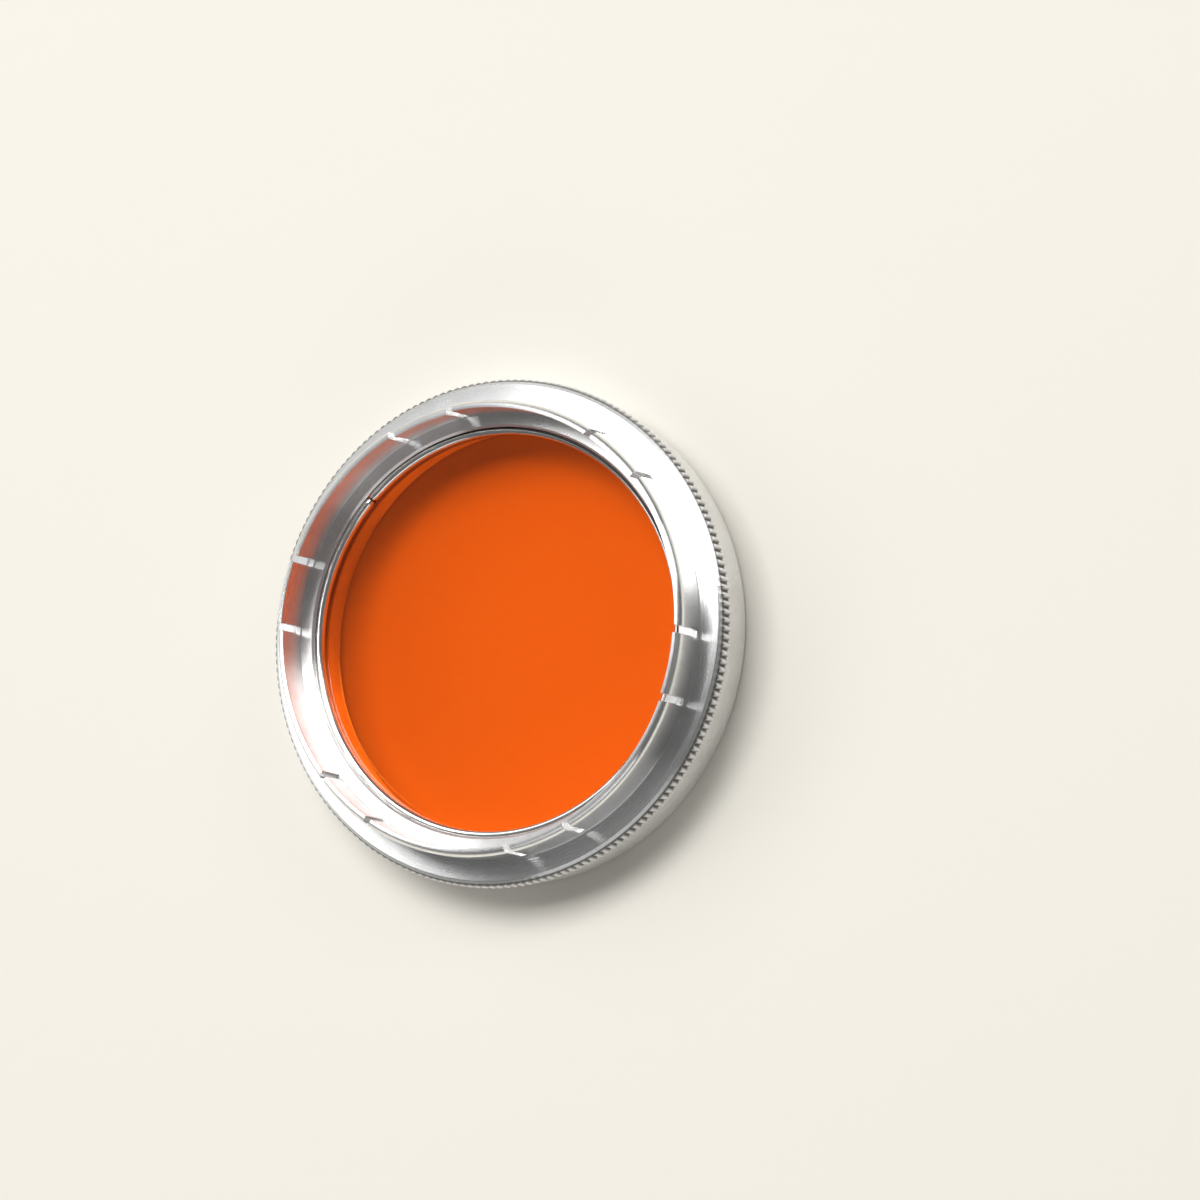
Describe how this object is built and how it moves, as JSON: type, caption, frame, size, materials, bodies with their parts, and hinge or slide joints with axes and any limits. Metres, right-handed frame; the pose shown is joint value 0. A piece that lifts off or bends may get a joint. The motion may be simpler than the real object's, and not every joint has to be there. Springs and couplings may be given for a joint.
{
  "type": "colour filter",
  "caption": "Push-on colour filter: an orange glass disc held by a split snap ring in a turned mount with a knurled grip and a slit collar that grips a lens barrel.",
  "frame": {"origin": "middle of the front rim's flat face, which the filter rests on", "axes": "+Z is the optical axis, from the front rim towards the collar that grips the barrel; +X passes midway between the two slits of one pair; +Y completes a right-handed frame"},
  "size_m": [0.037, 0.037, 0.0078],
  "materials": {
    "mount": "turned, aged bright",
    "glass": "orange, polished",
    "wire": "bright snap ring of square spring wire"
  },
  "bodies": {
    "root": {"mount_ring": "mount", "filter_glass": "glass", "retaining_ring": "wire"}
  },
  "joints": []
}
